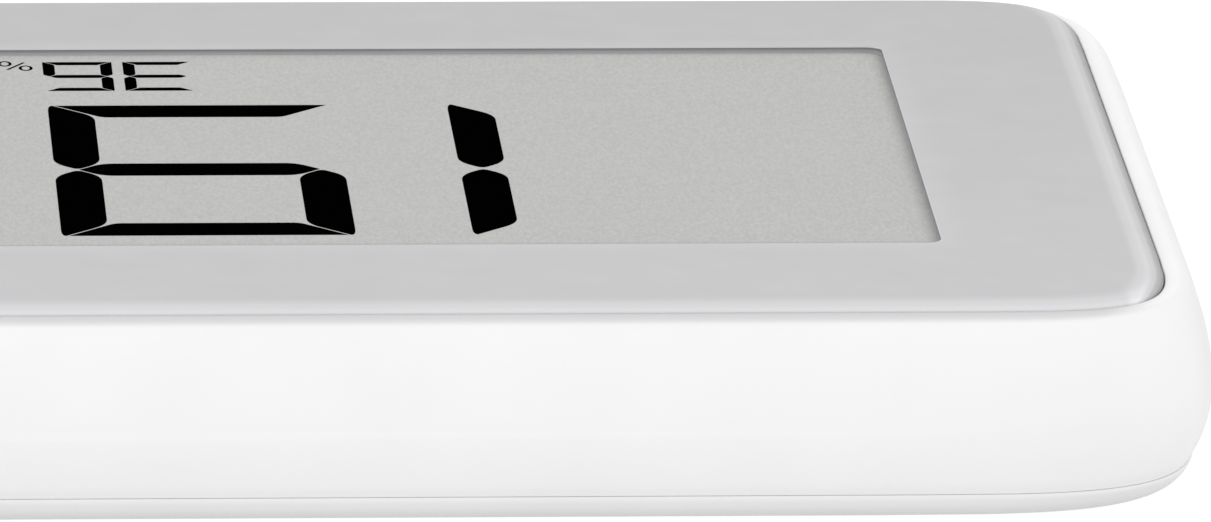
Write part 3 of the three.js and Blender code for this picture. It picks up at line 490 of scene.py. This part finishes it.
# ------------------------------------------------------------------ bezel
BEZEL_EDGE = 2.44 * MM
CROWN_RUN, CROWN_DROP = 1.5 * MM, 0.55 * MM
WINDOW_X, WINDOW_Y, WINDOW_R = 43.5 * MM, 17.55 * MM, 0.7 * MM
back_z = bezel_lo.z
sheet_z = face_hi.z
rings = [(body_outline(BEZEL_EDGE, 1), back_z)]
for step in range(25):
    turn = math.pi / 2 * step / 24
    rings.append((body_outline(BEZEL_EDGE + CROWN_RUN * (1 - math.cos(turn)), 1),
                  FACE_Z - CROWN_DROP * (1 - math.sin(turn))))
rings.append((body_outline(BEZEL_EDGE + CROWN_RUN + 1.2 * MM, 1), FACE_Z))
ease = 0.04 * MM
rings.append((rounded(WINDOW_X + 2 * ease, WINDOW_Y + 2 * ease, WINDOW_R + 2 * ease), FACE_Z))
for step in range(5):
    turn = math.pi / 2 * step / 4
    out = ease * (1 - math.sin(turn))
    rings.append((rounded(WINDOW_X + out, WINDOW_Y + out, WINDOW_R + out),
                  FACE_Z - ease * (1 - math.cos(turn))))
liner_top, liner_out = FACE_Z - 0.045 * MM, 0.5 * MM
liner_ring = rounded(WINDOW_X + liner_out, WINDOW_Y + liner_out, WINDOW_R + liner_out)
rings.append((rounded(WINDOW_X, WINDOW_Y, WINDOW_R), liner_top))
rings.append((liner_ring, liner_top))
rings.append((liner_ring, sheet_z + 0.01 * MM))
rings.append((rounded(WINDOW_X + 3.15 * MM, WINDOW_Y + 2.7 * MM, 0.8 * MM), sheet_z + 0.01 * MM))
rings.append((rounded(WINDOW_X + 3.15 * MM, WINDOW_Y + 2.7 * MM, 0.8 * MM), back_z))
bezel = skin("bezel_panel", rings, closed=True, angle=50)
finish_piece(bezel, GREY, "grey_panel", "case", "front_bezel")
window_ring = rounded(WINDOW_X + 0.01 * MM, WINDOW_Y + 0.01 * MM, WINDOW_R)
gap = liner_out - 0.01 * MM
gap_ring = rounded(WINDOW_X + gap, WINDOW_Y + gap, WINDOW_R + liner_out)
low, high = sheet_z + 0.002 * MM, liner_top - 0.002 * MM
liner = skin("window_liner", [(window_ring, low), (window_ring, high), (gap_ring, high), (gap_ring, low)],
             closed=True)
finish_piece(liner, LINER, "grey_panel", "case", "front_bezel")

# ------------------------------------------------------------------ display
BIG = dict(w=13.37, h=23.0, t=2.14, gap=0.065, shift=0.28, soft=0.85)
SMALL = dict(w=3.27, h=5.31, t=0.56, gap=0.042, shift=0.08, soft=0.16)
LIT = {"1": "bc", "2": "abged", "3": "abgcd", "4": "fgbc", "6": "afgecd", "9": "abcdfg"}


def soften(corners, steps=7):
    """A polygon from (x, y, reach) corners, each eased over its reach, or over a pair, one for each side."""
    points = []
    for i, (x, y, reach) in enumerate(corners):
        before_reach, after_reach = reach if isinstance(reach, tuple) else (reach, reach)
        here = Vector((x, y))
        before = Vector(corners[i - 1][:2])
        after = Vector(corners[(i + 1) % len(corners)][:2])
        if before_reach < 1e-3:
            points.append((x, y))
            continue
        start = here + (before - here).normalized() * before_reach
        end = here + (after - here).normalized() * after_reach
        for k in range(steps + 1):
            f = k / steps
            q = start * (1 - f) ** 2 + here * 2 * f * (1 - f) + end * f ** 2
            points.append((q.x, q.y))
    return points


def digit_bars(w, h, t, gap, shift, soft):
    """The seven bars of a digit as rounded polygons in a cell with its origin low left."""
    m, r, g, o = h / 2, t / 2, gap, shift
    left = [(0, h, (o - g, soft * 1.2)), (0, m + r + g, soft), (r, m + g, soft * 0.4), (t, m + r + g, soft),
            (t, h - t + o - g, soft), (o - g, h, 0)]
    mirror = [(w - x, y, k[::-1] if isinstance(k, tuple) else k) for x, y, k in left][::-1]
    top = [(o + g, h, 0), (t + o + g, h - t, soft * 0.4), (w - t - o - g, h - t, soft * 0.4),
           (w - o - g, h, 0)]
    middle = [(r + g, m, 0), (t + g, m - r, soft * 0.7), (w - t - g, m - r, soft * 0.7),
              (w - r - g, m, 0), (w - t - g, m + r, soft * 0.7), (t + g, m + r, soft * 0.7)]

    def flip(corners):
        return [(x, h - y, k[::-1] if isinstance(k, tuple) else k) for x, y, k in corners][::-1]

    bars = {"a": top, "b": mirror, "c": flip(mirror), "d": flip(top), "e": flip(left), "f": left, "g": middle}
    return {name: soften(corners) for name, corners in bars.items()}


def place_digits(shapes, cell, lefts, bottom, reading):
    bars = digit_bars(**cell)
    for left, figure in zip(lefts, reading):
        for bar in LIT[figure]:
            shapes.append([((x + left) * MM, (y + bottom) * MM) for x, y in bars[bar]])


shapes = []
place_digits(shapes, BIG, (-35.76, -17.07, 3.69, 22.38), -8.23, "1924")
place_digits(shapes, SMALL, (-10.72, -6.94, 20.2, 23.98, 27.76), -16.26, "36612")
for y in (-0.6, 7.2):
    shapes.append([(px, py) for px, py in rounded(0.85 * MM, 0.85 * MM, 0.2 * MM, 0, y * MM, steps=4)])

bm = bmesh.new()
plate = rounded(face_hi.x, face_hi.y, 0.7 * MM, steps=6)
add_skin(bm, [(plate, ink_lo.z), (plate, face_lo.z)])
ink_z = face_hi.z + 0.006 * MM
for points in shapes:
    add_prism(bm, points, face_lo.z, ink_z)
for x, y in ((-2.87, -15.17), (-1.9, -15.98)):
    outer = oval(0.33 * MM, 0.48 * MM, x * MM, y * MM)
    inner = oval(0.19 * MM, 0.34 * MM, x * MM, y * MM)
    add_skin(bm, [(outer, face_lo.z), (outer, ink_z), (inner, ink_z), (inner, face_lo.z)], closed=True)
slash = Vector((0.8, 1.3)).normalized()
side = Vector((-slash.y, slash.x)) * 0.065
ends = (Vector((-2.8, -16.2)), Vector((-2.0, -14.9)))
corners = (ends[0] + side, ends[0] - side, ends[1] - side, ends[1] + side)
add_prism(bm, [(p.x * MM, p.y * MM) for p in corners], face_lo.z, ink_z)
segments = mesh_object("lit_segments", bm)
finish_piece(segments, INK, "segment_ink", "case", "display_segments")

plate = rounded(face_hi.x, face_hi.y, 0.7 * MM, steps=8)
paper = skin("paper_face", [(plate, face_lo.z), (plate, face_hi.z)])
finish_piece(paper, PAPER, "paper_face", "case", "display_face")

# ------------------------------------------------------------------ rear cover
floor_top = 1.4 * MM
# Outer line of the cover from its base up to the seam: (inset, height, corner blend), in millimetres.
rim = [(4.5, 0.3, -1.2), (2.6, 0.3, -1.2), (1.95, 0.32, -1.2), (1.5, 0.42, -1.1), (1.14, 0.64, -0.9),
       (0.92, 0.94, -0.7), (0.82, 1.24, -0.4), (0.79, 1.42, -0.2), (0.79, 1.52, -0.2), (0.81, 1.56, -0.2),
       (0.9, 1.57, -0.2), (1.1, 1.57, -0.2)]
rim = chaikin([(i * MM, z * MM, blend) for i, z, blend in rim])
rings = [(body_outline(i, blend), z) for i, z, blend in rim] + [(body_outline(1.2 * MM, -0.2), floor_top)]
cover = skin("cover_tray", rings, angle=40)
pocket_hx, pocket_near, pocket_far = 20.3 * MM, leg_lo.y - 0.4 * MM, leg_hi.y + 0.3 * MM
pocket_mid, pocket_hy = (pocket_near + pocket_far) / 2, (pocket_far - pocket_near) / 2
scoop_y = leg_lo.y + 8 * MM
SCOOP_RADIUS, SCOOP_DEPTH, CUP_RADIUS = 5.2 * MM, 1.8 * MM, 6 * MM
bm = bmesh.new()
lip = [(2.55, 1.3), (2.55, 2.5), (2.65, 2.6), (3.25, 2.6), (3.35, 2.5), (3.35, 1.3)]
add_skin(bm, [(body_outline(i * MM), z * MM) for i, z in lip], closed=True)
roof, block_top = 2.75 * MM, 3.5 * MM
outer = rounded(pocket_hx + 2.6 * MM, pocket_hy + 0.8 * MM, 1.0 * MM, 0, pocket_mid, steps=6)
inner = rounded(pocket_hx, pocket_hy, 0.5 * MM, 0, pocket_mid, steps=6)
add_skin(bm, [(inner, 1.2 * MM), (outer, 1.2 * MM), (outer, block_top), (inner, block_top)], closed=True)
for at in screws:
    outer, inner = disc(2.5 * MM, at.x, at.y, 48), disc(1.7 * MM, at.x, at.y, 48)
    hole = disc(0.85 * MM, at.x, at.y, 48)
    add_skin(bm, [(inner, 1.0 * MM), (outer, 1.0 * MM), (outer, 2.7 * MM), (hole, 2.7 * MM), (hole, 1.9 * MM),
                  (inner, 1.9 * MM)], closed=True)
inside_parts = mesh_object("cover_inside", bm)
inner = rounded(pocket_hx + 0.02 * MM, pocket_hy + 0.02 * MM, 0.5 * MM, 0, pocket_mid, steps=6)
bay_roof = skin("stand_bay_roof", [(inner, roof), (inner, block_top - 0.01 * MM)])


def pocket_tool(bm):
    points = rounded(pocket_hx, pocket_hy, 0.5 * MM, 0, pocket_mid, steps=6)
    wide = rounded(pocket_hx + 0.3 * MM, pocket_hy + 0.3 * MM, 0.8 * MM, 0, pocket_mid, steps=6)
    add_skin(bm, [(wide, -1 * MM), (wide, BASE_Z), (points, BASE_Z + 0.3 * MM),
                  (points, block_top + 0.1 * MM)])


def scoop_tool(side_x):
    def build(bm):
        x = side_x * pocket_hx
        rings = []
        for step in range(9):
            turn = math.pi / 2 * step / 8
            rings.append((disc(SCOOP_RADIUS - 1.6 * MM * (1 - math.cos(turn)), x, scoop_y),
                          BASE_Z + SCOOP_DEPTH * math.sin(turn)))
        add_skin(bm, [(disc(SCOOP_RADIUS, x, scoop_y), -1 * MM)] + rings)
    return build


def drill(obj, rounds):
    def build(bm):
        for radius, x, y, low, high in rounds:
            add_skin(bm, [(disc(radius, x, y), low), (disc(radius, x, y), high)])
    cut(obj, build)


def slots_tool(x, y):
    def build(bm):
        for i in range(5):
            cx = x + (i - 2) * 1.6 * MM
            narrow = rounded(0.45 * MM, 3.7 * MM, 0.44 * MM, cx, y, steps=6)
            wide = rounded(0.6 * MM, 3.85 * MM, 0.59 * MM, cx, y, steps=6)
            add_skin(bm, [(wide, 0.1 * MM), (wide, BASE_Z), (narrow, BASE_Z + 0.15 * MM), (narrow, 5 * MM)])
    return build


sensor_lo, sensor_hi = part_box("sensor_gasket")
sensor_mid = (sensor_lo + sensor_hi) / 2
humid_lo, humid_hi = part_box("humidity_sensor")
humid_mid = (humid_lo + humid_hi) / 2
cut(cover, pocket_tool)
for side_x, name in ((-1, "right"), (1, "left")):
    wall = disc(CUP_RADIUS, side_x * pocket_hx, scoop_y)
    cup = skin("finger_cup_" + name, [(wall, 1.3 * MM), (wall, 2.9 * MM)], angle=40)
    cut(cup, pocket_tool)
    drill(inside_parts, [(5.95 * MM, side_x * pocket_hx, scoop_y, 1 * MM, 2.85 * MM)])
    for target in (cover, cup):
        cut(target, scoop_tool(side_x))
    finish_piece(cup, COVER_WHITE, "white_shell", "case", "rear_cover")
drill(cover, [(3.68 * MM, at.x, at.y, -1 * MM, 0.9 * MM) for at in screws])
drill(cover, [(1.7 * MM, at.x, at.y, -1 * MM, 3 * MM) for at in screws])


def gasket_seat(bm):
    points = rounded(5.8 * MM, 5.8 * MM, 1 * MM, sensor_mid.x, sensor_mid.y, steps=6)
    add_skin(bm, [(points, sensor_lo.z), (points, 3 * MM)])


cut(cover, gasket_seat)
cut(cover, slots_tool(sensor_mid.x, sensor_mid.y))
cut(cover, slots_tool(humid_mid.x, humid_mid.y))
finish_piece(cover, COVER_WHITE, "white_shell", "case", "rear_cover")
finish_piece(inside_parts, COVER_WHITE, "white_shell", "case", "rear_cover")
finish_piece(bay_roof, COVER_WHITE, "white_shell", "case", "rear_cover")

# ------------------------------------------------------------------ stand
hinge_y, hinge_z = (pin_lo.y + pin_hi.y) / 2, (pin_lo.z + pin_hi.z) / 2
leg_half = (leg_hi.x - leg_lo.x) / 2
leg_low, leg_high = tip_lo.z - 0.02 * MM, tip_hi.z + 0.02 * MM
leg_mid_y, leg_hy = (leg_lo.y + hinge_y) / 2, (hinge_y - leg_lo.y) / 2
leg = skin("stand_panel", [(rounded(leg_half, leg_hy, 2.4 * MM, 0, leg_mid_y, steps=10), leg_low),
                           (rounded(leg_half, leg_hy, 2.4 * MM, 0, leg_mid_y, steps=10), leg_high)])


def tip_seat(bm):
    points = rounded(15 * MM, 1.5 * MM, 0.1 * MM, 0, leg_lo.y, steps=2)
    add_skin(bm, [(points, leg_low - MM), (points, leg_high + MM)])


def hinge_room(bm):
    points = rounded(leg_half + MM, 1.0 * MM, 0.1 * MM, 0, hinge_y + 0.55 * MM, steps=2)
    add_skin(bm, [(points, leg_low - MM), (points, leg_high + MM)])


def grip_lines(bm):
    for i in range(5):
        points = rounded(7 * MM, 0.3 * MM, 0.29 * MM, 0, leg_lo.y + (4.2 + 1.5 * i) * MM, steps=4)
        add_skin(bm, [(points, leg_low - MM), (points, leg_low + 0.25 * MM)])


cut(leg, tip_seat)
cut(leg, hinge_room)
cut(leg, grip_lines)
bevel(leg, 0.22 * MM)
bm = bmesh.new()
outer, inner = disc(1.1 * MM, 0, 0, 48), disc(0.6 * MM, 0, 0, 48)
small = disc(0.98 * MM, 0, 0, 48)
chamfer = 0.12 * MM
add_skin(bm, [(inner, -leg_half), (small, -leg_half), (outer, -leg_half + chamfer),
              (outer, leg_half - chamfer), (small, leg_half), (inner, leg_half)], closed=True)
bmesh.ops.transform(bm, verts=bm.verts, matrix=Matrix.Translation((0, hinge_y, hinge_z))
                    @ Matrix.Rotation(math.pi / 2, 4, "Y"))
barrel = mesh_object("stand_barrel", bm)
finish_piece(leg, WHITE, "white_shell", "stand", "stand_leg")
finish_piece(barrel, WHITE, "white_shell", "stand", "stand_leg")
bm = bmesh.new()
tip_mid, tip_half = (tip_lo + tip_hi) / 2, (tip_hi - tip_lo) / 2
points = rounded(tip_half.x, tip_half.y, 0.25 * MM, 0, tip_mid.y, steps=6)
add_prism(bm, points, tip_lo.z, tip_hi.z)
tip = bevel(mesh_object("stand_tip_strip", bm), 0.15 * MM)
finish_piece(tip, RUBBER, "rubber", "stand", "stand_tip_pad")

# ------------------------------------------------------------------ pads
for number in range(1, 5):
    lo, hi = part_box(f"corner_pad_{number}")
    x, y, radius = (lo.x + hi.x) / 2, (lo.y + hi.y) / 2, (hi.x - lo.x) / 2
    rings = [(disc(radius - 0.55 * MM, x, y), lo.z), (disc(radius - 0.3 * MM, x, y), lo.z + 0.04 * MM),
             (disc(radius - 0.1 * MM, x, y), lo.z + 0.16 * MM), (disc(radius, x, y), lo.z + 0.4 * MM),
             (disc(radius, x, y), hi.z)]
    pad = skin(f"pad_{number}", [(disc(radius - 1.1 * MM, x, y), lo.z + 0.03 * MM)] + rings, angle=50)
    finish_piece(pad, RUBBER, "rubber", "case", f"corner_pad_{number}")

# ------------------------------------------------------------------ button
bm = bmesh.new()
cap_hx, cap_hz = 5.5 * MM, 1.4 * MM
front, backward = button_hi.y, HALF_Y - 2.92 * MM
profile = [(0.0, backward), (0.0, front - 0.35 * MM), (0.08 * MM, front - 0.16 * MM),
           (0.22 * MM, front - 0.05 * MM), (0.42 * MM, front), (0.9 * MM, front - 0.03 * MM)]
rings = [(rounded(cap_hx - i, cap_hz - i, max(1.38 * MM - i, 0.2 * MM), steps=10), y) for i, y in profile]
add_skin(bm, rings)
flange = rounded(6.3 * MM, 2.0 * MM, 1.6 * MM, steps=10)
add_skin(bm, [(flange, backward - 0.6 * MM), (flange, backward + 0.4 * MM)])
post = rounded(1.2 * MM, 0.8 * MM, 0.2 * MM, steps=4)
add_skin(bm, [(post, button_lo.y), (post, backward - 0.5 * MM)])
height_to_y = Matrix(((1, 0, 0, 0), (0, 0, 1, 0), (0, -1, 0, 0), (0, 0, 0, 1)))
at = Matrix.Translation((button_mid.x, 0, button_mid.z))
bmesh.ops.transform(bm, verts=bm.verts, matrix=at @ height_to_y)
button = mesh_object("button_cap", bm, angle=50)
finish_piece(button, WHITE, "white_shell", "button", "mode_button")

# ------------------------------------------------------------------ socket
bm = bmesh.new()
half_y, half_z = (socket_hi.y - socket_lo.y) / 2, (socket_hi.z - socket_lo.z) / 2
back = socket_lo.x
layers = [(0.0, back), (0.0, socket_hi.x - 0.05 * MM), (0.06 * MM, socket_hi.x), (0.22 * MM, socket_hi.x),
          (0.28 * MM, socket_hi.x - 0.05 * MM), (0.28 * MM, back + 1.2 * MM)]
rings = [(rounded(half_z - i, half_y - i, 1.5 * MM - i, steps=10), x) for i, x in layers]
add_skin(bm, rings)
height_to_x = Matrix(((0, 0, 1, 0), (0, 1, 0, 0), (-1, 0, 0, 0), (0, 0, 0, 1)))
at = Matrix.Translation((0, socket_mid.y, socket_mid.z))
bmesh.ops.transform(bm, verts=bm.verts, matrix=at @ height_to_x)
socket = mesh_object("socket_can", bm, angle=50)
finish_piece(socket, STEEL, "steel", "case", "socket_shell")

# ------------------------------------------------------------------ carried-over nodes
LOOKS = {
    "bezel_adhesive": TAPE, "board_tape": TAPE, "battery_tape": TAPE, "display_backplane": GLASSY,
    "display_flex": AMBER, "flex_connector": BLACK, "socket_tongue": BLACK, "main_board": BOARD,
    "co2_sensor_base": BOARD, "battery_guard_board": BOARD, "radio_shield": STEEL, "clock_crystal": STEEL,
    "co2_sensor_can": STEEL, "stand_pin": STEEL, "radio_chip": CHIP, "power_chip": CHIP, "switch_body": CHIP,
    "power_inductor": FERRITE, "co2_sensor_membrane": MEMBRANE, "humidity_sensor": MEMBRANE,
    "switch_plunger": MEMBRANE, "battery_socket": MEMBRANE, "battery_plug": MEMBRANE, "sensor_gasket": FOAM,
    "battery_pouch": POUCH, "battery_lead_positive": RED, "battery_lead_negative": DARK,
    "cover_screw_1": STEEL, "cover_screw_2": STEEL, "cover_screw_3": STEEL, "cover_screw_4": STEEL,
}
for name, look in LOOKS.items():
    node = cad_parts[name]
    for index in range(len(node.material_slots)):
        node.material_slots[index].material = look

# ------------------------------------------------------------------ stage, light and camera
FLOOR_GREY, FLOOR_GLOW, SKY_LEVEL = 0.16, 0.91, 1.1
bm = bmesh.new()
bmesh.ops.create_grid(bm, x_segments=2, y_segments=2, size=3.0)
floor = mesh_object("floor", bm)
floor_mat = bpy.data.materials.new("pale_floor")
floor_mat.use_nodes = True
floor_shader = floor_mat.node_tree.nodes["Principled BSDF"]
floor_shader.inputs["Base Color"].default_value = (FLOOR_GREY, FLOOR_GREY, FLOOR_GREY, 1)
floor_shader.inputs["Roughness"].default_value = 1.0
floor_shader.inputs["Specular IOR Level"].default_value = 0.0
floor_shader.inputs["Emission Color"].default_value = (1, 1, 1, 1)
floor_shader.inputs["Emission Strength"].default_value = FLOOR_GLOW
floor.data.materials.append(floor_mat)

world = bpy.data.worlds.new("studio")
world.use_nodes = True
world.node_tree.nodes["Background"].inputs["Color"].default_value = (1, 1, 1, 1)
world.node_tree.nodes["Background"].inputs["Strength"].default_value = SKY_LEVEL
bpy.context.scene.world = world


def softbox(name, at, towards, size, watts):
    """An area light at one point that faces another."""
    light = bpy.data.lights.new(name, "AREA")
    light.shape = "RECTANGLE"
    light.size, light.size_y = size
    light.energy = watts
    obj = bpy.data.objects.new(name, light)
    obj.location = at
    obj.rotation_euler = (Vector(towards) - Vector(at)).to_track_quat("-Z", "Y").to_euler()
    bpy.context.scene.collection.objects.link(obj)


def surround(name, direction, elevation, level, size=(0.9, 0.6), distance=0.95):
    """A softbox facing the origin; level is the brightness it gives a white card that faces it."""
    tilt = math.radians(elevation)
    flat = Vector((*direction, 0)).normalized()
    at = (flat * math.cos(tilt) + Vector((0, 0, math.sin(tilt)))) * distance
    softbox(name, at, (0, 0, 0), size, level * (math.pi * distance) ** 2)


surround("front_softbox", (0, 1), 35, 0.16)
surround("left_softbox", (1, 0.2), 22, 0.15)
surround("right_softbox", (-1, 0.2), 22, 0.1)

# The camera stands on the far side of the device from a reader, so the figures are upside down.
LENS, SENSOR = 462.9, 36.0
YAW, PITCH, ROLL = 3.790, 15.404, -0.778
RANGE = 0.70175
camera_data = bpy.data.cameras.new("camera")
camera_data.lens = LENS
camera_data.sensor_width = SENSOR
camera = bpy.data.objects.new("camera", camera_data)
bpy.context.scene.collection.objects.link(camera)
bpy.context.scene.camera = camera
yaw, pitch, roll = (math.radians(turn) for turn in (YAW, PITCH, ROLL))
forward = Vector((-math.sin(yaw) * math.cos(pitch), -math.cos(yaw) * math.cos(pitch), -math.sin(pitch)))
level = Vector((-math.cos(yaw), math.sin(yaw), 0))
down = forward.cross(level)
right = level * math.cos(roll) + down * math.sin(roll)
up = -(down * math.cos(roll) - level * math.sin(roll))
target = Vector((-28.04 * MM, 20.49 * MM, FACE_Z))
eye = target - forward * RANGE
camera.matrix_world = Matrix((
    (right.x, up.x, -forward.x, eye.x),
    (right.y, up.y, -forward.y, eye.y),
    (right.z, up.z, -forward.z, eye.z),
    (0, 0, 0, 1),
))
bpy.context.scene.view_settings.view_transform = "Standard"
